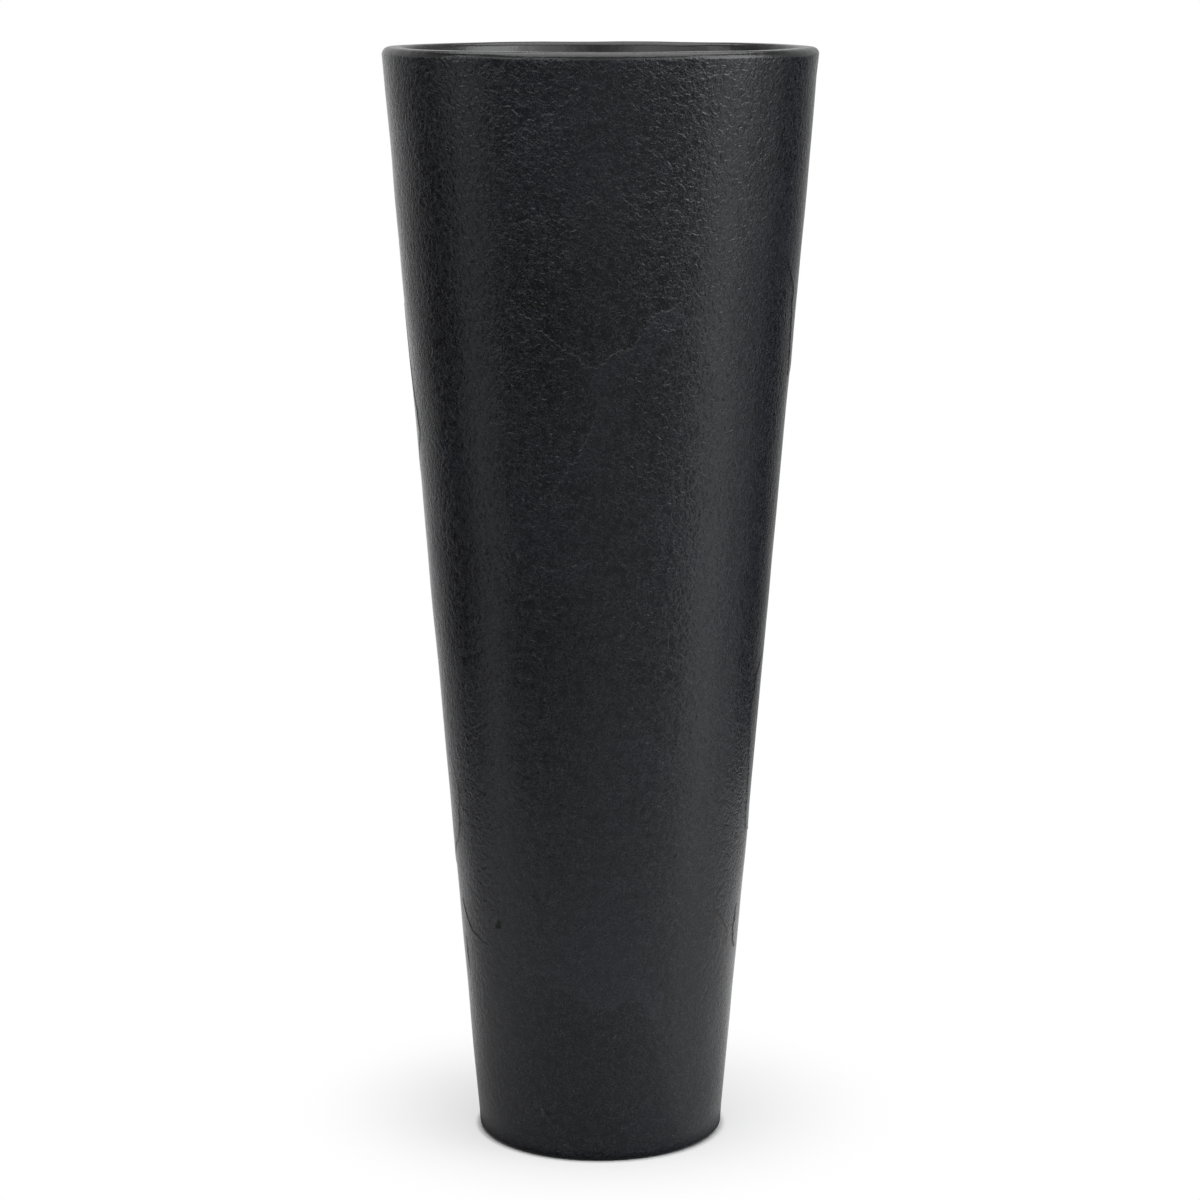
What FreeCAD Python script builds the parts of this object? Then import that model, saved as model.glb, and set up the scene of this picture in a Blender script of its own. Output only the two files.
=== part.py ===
import FreeCAD, Part

import math
import os

# Tall round tapered planter of glass-fibre laminate with a slate-effect skin.
# Millimetres, +Z up, origin on the floor at the centre of the foot.
# A ring is given by its section: corners of (radius, height, corner radius).

# Overall form
HEIGHT = 1000.0
MOUTH_RADIUS = 195.0
FOOT_RADIUS = 112.8

# Wall, from outside to inside
FACING_THICKNESS = 1.5
LAMINATE_THICKNESS = 3.5
WALL_THICKNESS = FACING_THICKNESS + LAMINATE_THICKNESS
WALL_TOP = HEIGHT - 10.0

# Foot
PAD_RADIUS = 9.0
PAD_HEIGHT = 2.5
PAD_CIRCLE_RADIUS = 95.0
PAD_EDGE_RADIUS = 0.6
PAD_COUNT = 4
WALL_FOOT = 1.5
FOOT_EDGE_RADIUS = 3.0
FOOT_RING_HEIGHT = 14.0
FOOT_RING_INNER_RADIUS = 82.0
FOOT_RING_EDGE_RADIUS = 2.0

# Rolled lip
LIP_WIDTH = 20.0
LIP_OUTER_EDGE_RADIUS = 8.0
LIP_INNER_EDGE_RADIUS = 5.0
LIP_SKIRT_DEPTH = 49.0
LIP_SKIRT_THICKNESS = 4.0
LIP_SKIRT_EDGE_RADIUS = 2.0

# Floor
FLOOR_THICKNESS = 4.0
FLOOR_SKIRT_HEIGHT = 25.0
FLOOR_SKIRT_THICKNESS = 3.0
FLOOR_CORNER_RADIUS = 2.0

# Drain fitting
DRAIN_HOLE_RADIUS = 16.0
DRAIN_BODY_RADIUS = 15.7
DRAIN_FLANGE_RADIUS = 25.0
DRAIN_FLANGE_THICKNESS = 3.0
DRAIN_BOTTOM = 5.5
DRAIN_EDGE_RADIUS = 0.8
SEAT_BORE_RADIUS = 11.0
SEAT_BORE_LENGTH = 13.5
OUTLET_BORE_RADIUS = 9.0
GASKET_THICKNESS = 1.5
GASKET_OUTER_RADIUS = 24.0
NUT_ACROSS_FLATS = 42.0
NUT_THICKNESS = 7.0
NUT_CLEARANCE = 0.1
NUT_CHAMFER = 1.6

# Drain plug
PLUG_CLEARANCE = 0.35
PLUG_TAPER = 0.7
PLUG_SHANK_LENGTH = 12.5
PLUG_HEAD_RADIUS = 17.0
PLUG_HEAD_HEIGHT = 4.0
PLUG_EDGE_RADIUS = 1.2
GRIP_STEM_RADIUS = 5.0
GRIP_STEM_HEIGHT = 11.0
GRIP_BAR_RADIUS = 4.5
GRIP_BAR_LENGTH = 22.0

# Lift-out shelf
SHELF_HEIGHT = 640.0
SHELF_THICKNESS = 12.0
SHELF_CLEARANCE = 3.4
SHELF_EDGE_RADIUS = 2.0
FINGER_HOLE_RADIUS = 16.0
FINGER_HOLE_OFFSET = 95.0
SHELF_DRAIN_RADIUS = 5.0
SHELF_DRAIN_CIRCLES = ((50.0, 6), (128.0, 12))

# Shelf cleats
CLEAT_COUNT = 4
CLEAT_SPAN_DEG = 15.0
CLEAT_LEDGE_DEPTH = 26.0
CLEAT_LEDGE_THICKNESS = 5.0
CLEAT_BACK_HEIGHT = 48.0
CLEAT_BACK_THICKNESS = 4.0
CLEAT_WEB_SPAN_DEG = 1.8
CLEAT_WEB_SETBACK = 3.0
FIRST_DIAGONAL_DEG = 45.0

# Heights that follow
FOOT_RING_TOP = PAD_HEIGHT + FOOT_RING_HEIGHT
FLOOR_TOP = FOOT_RING_TOP + FLOOR_THICKNESS
FLANGE_BOTTOM = FLOOR_TOP + GASKET_THICKNESS
FLANGE_TOP = FLANGE_BOTTOM + DRAIN_FLANGE_THICKNESS
AXIS_POINT = FreeCAD.Vector(0, 0, 0)
UP = FreeCAD.Vector(0, 0, 1)


def outer_radius(height):
    """Radius of the planter's straight taper at a height."""
    return FOOT_RADIUS + (MOUTH_RADIUS - FOOT_RADIUS) * height / HEIGHT


def wall_radius(height):
    """Radius of the laminate's inner face at a height."""
    return outer_radius(height) - WALL_THICKNESS


def skirt_radius(height):
    """Radius of the lip skirt's inner face at a height: parallel to the wall, from the mouth's edge down."""
    return outer_radius(height) - LIP_WIDTH


def section_face(corners):
    """Flat section in the XZ plane, each corner rounded by a tangent arc of its own radius."""
    count = len(corners)
    points = [FreeCAD.Vector(radius, 0, height) for radius, height, _ in corners]
    stretches = []
    for index, (_, _, rounding) in enumerate(corners):
        here = points[index]
        if rounding == 0:
            stretches.append((here, None, here))
            continue
        back = (points[index - 1] - here).normalize()
        ahead = (points[(index + 1) % count] - here).normalize()
        half_angle = back.getAngle(ahead) / 2
        reach = rounding / math.tan(half_angle)
        inward = (back + ahead).normalize()
        centre_distance = rounding / math.sin(half_angle)
        middle = here + inward * (centre_distance - rounding)
        stretches.append((here + back * reach, middle, here + ahead * reach))
    edges = []
    for index, (start, middle, end) in enumerate(stretches):
        if middle is not None:
            edges.append(Part.Arc(start, middle, end).toShape())
        following = stretches[(index + 1) % count][0]
        edges.append(Part.LineSegment(end, following).toShape())
    return Part.Face(Part.Wire(edges))


def ring(corners, centre_deg=0.0, span_deg=360.0):
    """Section turned about the planter's axis, by a whole turn or a span centred on an angle."""
    face = section_face(corners)
    if span_deg < 360.0:
        face.rotate(AXIS_POINT, UP, centre_deg - span_deg / 2)
    return face.revolve(AXIS_POINT, UP, span_deg)


def on_circle(radius, angle_deg, height=0.0):
    """Point on a circle about the planter's axis."""
    angle = math.radians(angle_deg)
    return FreeCAD.Vector(radius * math.cos(angle), radius * math.sin(angle), height)


def slate_facing():
    """Thin skin down the outside, rounded at the foot and turned under the laminate's edge."""
    under = WALL_FOOT + FACING_THICKNESS
    return ring([
        (outer_radius(WALL_FOOT), WALL_FOOT, FOOT_EDGE_RADIUS),
        (outer_radius(WALL_TOP), WALL_TOP, 0),
        (outer_radius(WALL_TOP) - FACING_THICKNESS, WALL_TOP, 0),
        (outer_radius(under) - FACING_THICKNESS, under, 0),
        (wall_radius(under), under, 0),
        (wall_radius(WALL_FOOT), WALL_FOOT, 0),
    ])


def laminate_shell():
    """Load-bearing tapered wall behind the skin."""
    bottom = WALL_FOOT + FACING_THICKNESS
    return ring([
        (outer_radius(bottom) - FACING_THICKNESS, bottom, 0),
        (outer_radius(WALL_TOP) - FACING_THICKNESS, WALL_TOP, 0),
        (wall_radius(WALL_TOP), WALL_TOP, 0),
        (wall_radius(bottom), bottom, 0),
    ])


def rim_ring():
    """Rolled lip: flat top, outer edge flush with the skin, inner skirt returned to the wall."""
    skirt_bottom = HEIGHT - LIP_SKIRT_DEPTH
    skirt_floor = skirt_bottom + LIP_SKIRT_THICKNESS
    return ring([
        (outer_radius(WALL_TOP), WALL_TOP, 0),
        (MOUTH_RADIUS, HEIGHT, LIP_OUTER_EDGE_RADIUS),
        (skirt_radius(HEIGHT), HEIGHT, LIP_INNER_EDGE_RADIUS),
        (skirt_radius(skirt_bottom), skirt_bottom, LIP_SKIRT_EDGE_RADIUS),
        (wall_radius(skirt_bottom), skirt_bottom, 0),
        (wall_radius(skirt_floor), skirt_floor, 0),
        (skirt_radius(skirt_floor) + LIP_SKIRT_THICKNESS, skirt_floor, 0),
        (skirt_radius(WALL_TOP) + LIP_SKIRT_THICKNESS, WALL_TOP, 0),
    ])


def rim_core():
    """Stiffening ring that fills the lip between its skirt and the wall."""
    bottom = HEIGHT - LIP_SKIRT_DEPTH + LIP_SKIRT_THICKNESS
    return ring([
        (skirt_radius(bottom) + LIP_SKIRT_THICKNESS, bottom, 0),
        (wall_radius(bottom), bottom, 0),
        (wall_radius(WALL_TOP), WALL_TOP, 0),
        (skirt_radius(WALL_TOP) + LIP_SKIRT_THICKNESS, WALL_TOP, 0),
    ])


def foot_ring():
    """Thick ring inside the bottom edge of the wall, on which the floor is bonded."""
    return ring([
        (FOOT_RING_INNER_RADIUS, PAD_HEIGHT, FOOT_RING_EDGE_RADIUS),
        (wall_radius(PAD_HEIGHT), PAD_HEIGHT, 0),
        (wall_radius(FOOT_RING_TOP), FOOT_RING_TOP, 0),
        (FOOT_RING_INNER_RADIUS, FOOT_RING_TOP, 0),
    ])


def floor_pan():
    """Floor with a central drain hole and a skirt turned up along the wall."""
    skirt_top = FLOOR_TOP + FLOOR_SKIRT_HEIGHT
    return ring([
        (DRAIN_HOLE_RADIUS, FOOT_RING_TOP, 0),
        (wall_radius(FOOT_RING_TOP), FOOT_RING_TOP, 0),
        (wall_radius(skirt_top), skirt_top, 0),
        (wall_radius(skirt_top) - FLOOR_SKIRT_THICKNESS, skirt_top, 0),
        (wall_radius(FLOOR_TOP) - FLOOR_SKIRT_THICKNESS, FLOOR_TOP, FLOOR_CORNER_RADIUS),
        (DRAIN_HOLE_RADIUS, FLOOR_TOP, 0),
    ])


def drain_bushing():
    """Flanged tube through the floor: a wide seat for the plug above a narrower outlet."""
    seat_bottom = FLANGE_TOP - SEAT_BORE_LENGTH
    return ring([
        (SEAT_BORE_RADIUS, FLANGE_TOP, 0),
        (DRAIN_FLANGE_RADIUS, FLANGE_TOP, DRAIN_EDGE_RADIUS),
        (DRAIN_FLANGE_RADIUS, FLANGE_BOTTOM, 0),
        (DRAIN_BODY_RADIUS, FLANGE_BOTTOM, 0),
        (DRAIN_BODY_RADIUS, DRAIN_BOTTOM, DRAIN_EDGE_RADIUS),
        (OUTLET_BORE_RADIUS, DRAIN_BOTTOM, 0),
        (OUTLET_BORE_RADIUS, seat_bottom, 0),
        (SEAT_BORE_RADIUS, seat_bottom, 0),
    ])


def drain_gasket():
    """Flat washer between the drain flange and the floor."""
    return ring([
        (DRAIN_HOLE_RADIUS, FLOOR_TOP, 0),
        (GASKET_OUTER_RADIUS, FLOOR_TOP, 0),
        (GASKET_OUTER_RADIUS, FLANGE_BOTTOM, 0),
        (DRAIN_HOLE_RADIUS, FLANGE_BOTTOM, 0),
    ])


def drain_nut():
    """Hexagonal nut below the floor, its lower corners turned to a cone."""
    corner_radius = NUT_ACROSS_FLATS / 2 / math.cos(math.pi / 6)
    bottom = FOOT_RING_TOP - NUT_THICKNESS
    corners = [on_circle(corner_radius, 60 * index, bottom) for index in range(7)]
    hexagon = Part.Face(Part.makePolygon(corners))
    prism = hexagon.extrude(UP * NUT_THICKNESS)
    turned = ring([
        (DRAIN_BODY_RADIUS + NUT_CLEARANCE, bottom, 0),
        (corner_radius - NUT_CHAMFER, bottom, 0),
        (corner_radius, bottom + NUT_CHAMFER, 0),
        (corner_radius, FOOT_RING_TOP, 0),
        (DRAIN_BODY_RADIUS + NUT_CLEARANCE, FOOT_RING_TOP, 0),
    ])
    return prism.common(turned)


def drain_plug():
    """Tapered bung whose head rests on the drain flange, with a stem and a cross bar on top."""
    shank_bottom = FLANGE_TOP - PLUG_SHANK_LENGTH
    shank_radius = SEAT_BORE_RADIUS - PLUG_CLEARANCE
    head_top = FLANGE_TOP + PLUG_HEAD_HEIGHT
    bung = ring([
        (0, shank_bottom, 0),
        (shank_radius - PLUG_TAPER, shank_bottom, PLUG_EDGE_RADIUS),
        (shank_radius, FLANGE_TOP, 0),
        (PLUG_HEAD_RADIUS, FLANGE_TOP, 0),
        (PLUG_HEAD_RADIUS, head_top, PLUG_EDGE_RADIUS),
        (0, head_top, 0),
    ])
    bar_height = head_top + GRIP_STEM_HEIGHT
    stem = Part.makeCylinder(GRIP_STEM_RADIUS, GRIP_STEM_HEIGHT, FreeCAD.Vector(0, 0, head_top))
    bar_ends = [FreeCAD.Vector(side * GRIP_BAR_LENGTH / 2, 0, bar_height) for side in (-1, 1)]
    bar = Part.makeCylinder(GRIP_BAR_RADIUS, GRIP_BAR_LENGTH, bar_ends[0], FreeCAD.Vector(1, 0, 0))
    balls = [Part.makeSphere(GRIP_BAR_RADIUS, bar_end) for bar_end in bar_ends]
    return bung.fuse([stem, bar] + balls).removeSplitter()


def foot_pad(angle_deg):
    """Round pad under the foot ring."""
    pad = ring([
        (0, 0, 0),
        (PAD_RADIUS, 0, PAD_EDGE_RADIUS),
        (PAD_RADIUS, PAD_HEIGHT, 0),
        (0, PAD_HEIGHT, 0),
    ])
    pad.translate(on_circle(PAD_CIRCLE_RADIUS, angle_deg))
    return pad


def shelf_cleat(angle_deg):
    """Bracket on the wall: a back flange, a ledge and a web under the ledge."""
    back_bottom = SHELF_HEIGHT - CLEAT_BACK_HEIGHT
    ledge_bottom = SHELF_HEIGHT - CLEAT_LEDGE_THICKNESS
    ledge_inner = wall_radius(SHELF_HEIGHT) - CLEAT_LEDGE_DEPTH
    bracket = ring([
        (wall_radius(back_bottom), back_bottom, 0),
        (wall_radius(SHELF_HEIGHT), SHELF_HEIGHT, 0),
        (ledge_inner, SHELF_HEIGHT, 0),
        (ledge_inner, ledge_bottom, 0),
        (wall_radius(ledge_bottom) - CLEAT_BACK_THICKNESS, ledge_bottom, 0),
        (wall_radius(back_bottom) - CLEAT_BACK_THICKNESS, back_bottom, 0),
    ], angle_deg, CLEAT_SPAN_DEG)
    web = ring([
        (wall_radius(back_bottom) - CLEAT_BACK_THICKNESS, back_bottom, 0),
        (wall_radius(ledge_bottom) - CLEAT_BACK_THICKNESS, ledge_bottom, 0),
        (ledge_inner + CLEAT_WEB_SETBACK, ledge_bottom, 0),
    ], angle_deg, CLEAT_WEB_SPAN_DEG)
    return bracket.fuse(web).removeSplitter()


def shelf_board():
    """Round false floor with two finger holes and two circles of drain holes."""
    top = SHELF_HEIGHT + SHELF_THICKNESS
    radius = wall_radius(SHELF_HEIGHT) - SHELF_CLEARANCE
    board = ring([
        (0, SHELF_HEIGHT, 0),
        (radius, SHELF_HEIGHT, SHELF_EDGE_RADIUS),
        (radius, top, SHELF_EDGE_RADIUS),
        (0, top, 0),
    ])
    holes = []
    for side_deg in (0, 180):
        place = on_circle(FINGER_HOLE_OFFSET, side_deg, SHELF_HEIGHT)
        holes.append(Part.makeCylinder(FINGER_HOLE_RADIUS, SHELF_THICKNESS, place))
    for circle_radius, count in SHELF_DRAIN_CIRCLES:
        for index in range(count):
            place = on_circle(circle_radius, 360 * (index + 0.5) / count, SHELF_HEIGHT)
            holes.append(Part.makeCylinder(SHELF_DRAIN_RADIUS, SHELF_THICKNESS, place))
    return board.cut(holes)


def all_pieces():
    """Every piece by its name."""
    pieces = {
        "slate_facing": slate_facing(),
        "laminate_shell": laminate_shell(),
        "rim_ring": rim_ring(),
        "rim_core": rim_core(),
        "foot_ring": foot_ring(),
        "floor_pan": floor_pan(),
        "drain_bushing": drain_bushing(),
        "drain_gasket": drain_gasket(),
        "drain_nut": drain_nut(),
        "drain_plug": drain_plug(),
        "shelf_board": shelf_board(),
    }
    for index in range(PAD_COUNT):
        angle_deg = FIRST_DIAGONAL_DEG + 360 * index / PAD_COUNT
        pieces[f"foot_pad_{index + 1}"] = foot_pad(angle_deg)
    for index in range(CLEAT_COUNT):
        angle_deg = FIRST_DIAGONAL_DEG + 360 * index / CLEAT_COUNT
        pieces[f"shelf_cleat_{index + 1}"] = shelf_cleat(angle_deg)
    return pieces


os.makedirs("parts", exist_ok=True)
for name, shape in all_pieces().items():
    shape.exportStep(f"parts/{name}.step")
    box = shape.BoundBox
    print(f"{name}: solids {len(shape.Solids)}, valid {shape.isValid()}, volume {shape.Volume:.0f} mm3, "
          f"z {box.ZMin:.2f} to {box.ZMax:.2f}, x {box.XMin:.2f} to {box.XMax:.2f}")
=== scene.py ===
from collections import namedtuple
import math

import bpy
import numpy as np
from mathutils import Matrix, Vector


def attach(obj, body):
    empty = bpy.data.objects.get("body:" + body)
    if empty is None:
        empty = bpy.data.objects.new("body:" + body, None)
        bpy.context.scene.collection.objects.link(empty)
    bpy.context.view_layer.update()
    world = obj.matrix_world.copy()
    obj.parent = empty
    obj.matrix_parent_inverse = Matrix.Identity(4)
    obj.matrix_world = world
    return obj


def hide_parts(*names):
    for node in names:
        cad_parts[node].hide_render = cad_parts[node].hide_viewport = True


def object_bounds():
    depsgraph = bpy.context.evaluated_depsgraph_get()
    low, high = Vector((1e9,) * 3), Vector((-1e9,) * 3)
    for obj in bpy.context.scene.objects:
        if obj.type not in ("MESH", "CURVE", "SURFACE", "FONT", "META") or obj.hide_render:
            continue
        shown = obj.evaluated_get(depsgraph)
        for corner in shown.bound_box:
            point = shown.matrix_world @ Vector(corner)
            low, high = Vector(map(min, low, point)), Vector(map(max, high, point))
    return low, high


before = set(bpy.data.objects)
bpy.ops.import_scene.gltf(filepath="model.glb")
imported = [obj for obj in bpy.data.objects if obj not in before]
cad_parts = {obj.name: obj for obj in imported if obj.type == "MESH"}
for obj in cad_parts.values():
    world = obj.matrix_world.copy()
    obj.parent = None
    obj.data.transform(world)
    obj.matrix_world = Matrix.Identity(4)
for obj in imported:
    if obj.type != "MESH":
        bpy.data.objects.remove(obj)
cad_low, cad_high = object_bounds()

# Planter, in metres. The taper is a straight line from the floor to the top of the lip.
MM = 0.001
FULL_TURN = 2 * math.pi
HEIGHT = cad_high.z
MOUTH_RADIUS = 195 * MM
FOOT_RADIUS = 112.8 * MM
LEAN = math.atan((MOUTH_RADIUS - FOOT_RADIUS) / HEIGHT)
WALL_THICKNESS = 5 * MM
FACING_THICKNESS = 1.5 * MM
WALL_TOP = HEIGHT - 10 * MM
WALL_FOOT = 1.5 * MM
FOOT_EDGE_RADIUS = 3 * MM

# Slate skin: how far it lies inside the taper, its grid, and its long soft hollows
SKIN_SETBACK = 0.20 * MM
SKIN_COLUMNS = 620
SKIN_ROWS = 130
FOOT_EDGE_ROWS = 7
SKIN_BACK_ROWS = 12
SKIN_BACK_OVERLAP = 0.5 * MM
HOLLOW_DEPTH = 0.22 * MM
HOLLOW_LONGEST = 200 * MM
HOLLOW_SHORTEST = 45 * MM
HOLLOW_LIMIT = 2.2
HOLLOW_FADE = 16 * MM
HOLLOW_SEED = 11

# Skin's ragged upper edge, which laps onto the lip's outer round. The section of the lap is given as
# (mm under the lip's round, share of the way round from the wall to the ragged edge).
SKIN_LAP = 5.6 * MM
LAP_WANDER = 0.7 * MM
LAP_SECTION = ((0.75, 0.2), (0.75, 0.9), (0.35, 1.12), (0.08, 1.1), (0.0, 0.97), (0.0, 0.75), (0.0, 0.45),
               (0.0, 0.15))
LAP_LOWEST = -0.4
LAP_HIGHEST = 0.8
LAP_WORN_ROWS = slice(2, 4)
LAP_WEAR = 0.5
LAP_SEEDS = (34, 35)

# Rolled lip
LIP_WIDTH = 20 * MM
LIP_OUTER_RADIUS = 6.5 * MM
LIP_INNER_RADIUS = 5 * MM
LIP_UNDER_SKIN = 0.16 * MM
LIP_COLUMNS = 720
LIP_START = HEIGHT - 9.9 * MM
LIP_START_DEPTH = 1.1 * MM
LIP_BACK_DEPTH = 3 * MM
LIP_TOP_DROP = 0.03 * MM
LIP_TOP_WANDER = 0.13 * MM
OUTER_ROUND_WANDER = 0.45 * MM
INNER_ROUND_WANDER = 0.4 * MM
LIP_TOP_SEED, OUTER_ROUND_SEED, INNER_ROUND_SEED = 31, 32, 33
SKIRT_DEPTH = 49 * MM
SKIRT_THICKNESS = 4 * MM
SKIRT_BEND = 2 * MM
SKIRT_RETURN = 0.3 * MM

# Tone of the skin. Across and up are metres on the wall, from its front line and from the floor.
DRIFT_TONE = 0.32
DRIFT_LONGEST = 320 * MM
DRIFT_SHORTEST = 90 * MM
DRIFT_SEED = 23
# Painted shade in the recessed notch above the two front leaves: its depth, centre and size
NOTCH_PAINTED_SHADE = -1.9
NOTCH_ACROSS = 8 * MM
NOTCH_UP = 792 * MM
NOTCH_WIDTH = 72 * MM
NOTCH_HEIGHT = 48 * MM
WARM_TINT = 0.3
WARM_HEADING = math.radians(-66)
WARM_WIDTH = math.radians(26)
FOOT_LIGHT_WIDTH = 66 * MM
FOOT_LIGHT_FADES_FROM = 185 * MM
FOOT_LIGHT_FADE = 75 * MM
FOOT_LIGHT_STARTS = 150 * MM
FOOT_LIGHT_START_HEIGHT = 35 * MM
FOOT_DARK_TONE = -0.8
FOOT_DARK_STARTS = 50 * MM
FOOT_DARK_START_HEIGHT = 60 * MM

# A leaf of the slate: corners, lift over the skin, tone added on it, seed of its ragged edge, mark on its edge
# (above 0 pale wear that is partly a painted highlight, below 0 a dark crack), rusty tint, and for a chip the
# heading in degrees of its facet with painted light
Leaf = namedtuple("Leaf", "corners lift shade seed wear rust facet", defaults=(0.25, 0.0, None))

# A closed sheet: points, quads, two many-sided faces, and a number per point for tone, edge marks (wear,
# painted highlight, painted facet light and shade) and rust
Patch = namedtuple("Patch", "points quads sides tone edge rust")

# Leaves of the slate: how they meet the skin. Reach, widths and limits are in mm on the wall.
LEAF_OUTSIDE = -0.28 * MM
LEAF_MERGED = -0.10 * MM
LEAF_BOTTOM = 1.05 * MM
LEAF_REACH = 15.0
LEAF_EDGE_WIDTH = 1.0
LEAF_LOWEST = 6.0
LEAF_HIGHEST = 985.0
LEAF_STEPS_ABOVE = 0.02
# Pale worn edge line, partly a painted highlight along the raised edge; crack mark; painted light and shade of
# chip facets
WEAR_INSIDE = 0.4
WEAR_WIDTH = 0.8
CRACKED = -1.0
FACET_RAMP = 1.2
FACET_PAINTED_LIGHT = 0.45
FACET_PAINTED_SHADE = 1.0
OUTLINE_SPACING = 1.3
OUTLINE_FEWEST = 24
POINTS_AT_ONCE = 12000

# Leaves that the photograph shows, as corners of
# (mm round the wall from its front line, mm up, how sharply the edge steps there)
CLEFT_LOWER_LEFT = (
    (-86, 800, 0.6), (-70, 780, 1), (-54, 766, 1), (-41, 756, 1), (-26, 746, 1), (-4, 732, 1), (8, 720, 0),
    (6, 690, 0), (-6, 650, 0), (-40, 590, 0), (-90, 565, 0), (-140, 600, 0), (-160, 690, 0), (-130, 770, 0))
CLEFT_LOWER_RIGHT = (
    (66, 789, 0.3), (61, 783, 0.8), (43, 777, 1), (39, 767, 1), (33, 758, 1), (27, 750, 1), (10, 746, 1),
    (4, 738, 1), (-4, 732, 1), (-9, 719, 1), (-9, 710, 1), (-3, 697, 1), (-7, 683, 1), (-20, 654, 1),
    (-35, 636, 0.8), (-44, 612, 0), (-20, 560, 0), (50, 520, 0), (130, 570, 0), (165, 670, 0), (140, 750, 0),
    (100, 790, 0))
CLEFT_NEAR_FOOT = (
    (-88, 176, 0.2), (-75, 165, 0.8), (-63, 183, 1), (-44, 168, 1), (-27, 162, 1), (-17, 152, 1), (-9, 147, 1),
    (12, 146, 1), (16, 152, 1), (26, 158, 1), (39, 151, 1), (44, 136, 0.9), (56, 130, 0.2), (90, 150, 0),
    (112, 220, 0), (95, 310, 0), (0, 350, 0), (-80, 330, 0), (-112, 250, 0))
FLAKE_LEFT = (
    (-173, 228, 0.3), (-167, 221, 1), (-154, 207, 1), (-143, 201, 1), (-124, 196, 0.9), (-115, 195, 0.4),
    (-120, 178, 0), (-150, 150, 0), (-190, 165, 0), (-198, 215, 0))
FLAKE_LEFT_LOW = ((-166, 190, 0.6), (-164, 171, 1), (-160, 160, 0.5), (-175, 155, 0), (-182, 188, 0))
FLAKE_RIGHT = (
    (119, 233, 0.4), (127, 223, 1), (133, 217, 1), (140, 208, 1), (148, 199, 1), (146, 194, 1), (140, 188, 0.6),
    (128, 165, 0), (108, 190, 0), (106, 225, 0))
FLAKE_RIGHT_EDGE = (
    (166, 222, 0.5), (163, 212, 1), (160, 200, 1), (162, 194, 1), (160, 187, 1), (168, 179, 0.7), (190, 182, 0),
    (190, 218, 0))
CHIP_LEFT = ((-106, 226, 1), (-100, 221, 1), (-99, 214, 1), (-108, 213, 1), (-112, 219, 1))
CHIP_LOW = ((-57, 47, 1), (-51, 46, 1), (-46, 43, 1), (-50, 39, 1), (-55, 38, 1))

# Broad layers round the sides and back: mm round, mm up, width, height, heading in degrees of the side that
# steps, lift in mm, tone
BROAD_LAYERS = (
    (300, 820, 190, 230, 250, 0.40, 0.35), (430, 560, 200, 240, 150, 0.42, -0.3),
    (-330, 650, 200, 240, 60, 0.45, 0.4), (-250, 330, 160, 210, 290, 0.40, 0.3),
    (250, 380, 170, 230, 200, 0.40, 0.35), (-420, 880, 210, 130, 270, 0.35, 0.3))
BROAD_RIGHT = (0, 1, 4)
BROAD_LEFT = (2, 3, 5)

# Camera, fitted to the planter's outline in the photograph
CAMERA_DISTANCE = 3.102
CAMERA_SIDE = -0.3 * MM
CAMERA_HEIGHT = 1.080
CAMERA_PITCH_DEG = 10.609
CAMERA_SEES_TO = 50.0
LENS_MM = 103.37
SENSOR_MM = 36.0

# Studio: brightness 1 is white
WHITE = (1.0, 1.0, 1.0, 1.0)
ROOM_LEVEL = 0.12
FLOOR_SIZE = 30.0
FLOOR_DARKEST = (0.94, 0.94, 0.94)
FLOOR_LIGHTEST = (0.96, 0.96, 0.96)
# The floor's own shade shows round the foot and gives way to plain white between these distances
FLOOR_WHITE_FROM = 0.08
FLOOR_WHITE_FULL = 0.30
FLOOR_GLOW = 0.53
SHADOW_SHIFT = 0.045
CONTACT_WIDTH = 6 * MM
# Painted shadow in the floor's glow mirrored in the planter: dimmer beside the foot, out to these distances
CONTACT_FAR = 0.135
CONTACT_SHARE = 0.2
SHADOW_FAR = 0.40
SHADOW_SHARE = 0.72
NEAR_FLOOR = 0.55
FAR_FLOOR = 1.5
# Heights, as parts of a sphere's radius, between which the mirrored room turns from floor to wall to ceiling
HORIZON_FROM = 0.02
HORIZON_FULL = 0.085
CEILING_FROM = 0.35
CEILING_FULL = 0.65
# Mirrored brightness of the room and the floor, by degrees round the planter from the camera to its right
ROOM_RING = ((-180, 0.60), (-135, 0.70), (-119, 0.45), (-95, 0.30), (-82, 0.55), (-51, 1.55), (-25, 2.00),
             (-10, 0.9), (0, 0.42), (10, 0.9), (25, 1.90), (50, 2.90), (66, 1.5), (119, 0.35), (180, 0.60))
NEAR_SHEET = ((-180, 1.25), (-150, 0.66), (-115, 0.40), (-70, 0.46), (-25, 0.45), (0, 0.47), (30, 0.55),
              (62, 0.82), (90, 0.68), (110, 0.60), (150, 0.74), (180, 1.05))
FAR_SHEET = ((-180, 1.0), (-157, 0.68), (-146, 0.40), (-128, 0.24), (-116, 0.02), (-98, 0.01), (-90, 0.10),
             (-82, 0.56), (-72, 0.52), (-63, 0.12), (-45, 0.15), (-20, 0.22), (0, 0.33), (40, 0.32), (56, 0.43),
             (67, 1.13), (81, 1.08), (93, 0.26), (103, 0.56), (114, 0.08), (134, 0.02), (150, 0.24), (168, 0.5),
             (180, 1.0))

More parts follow.
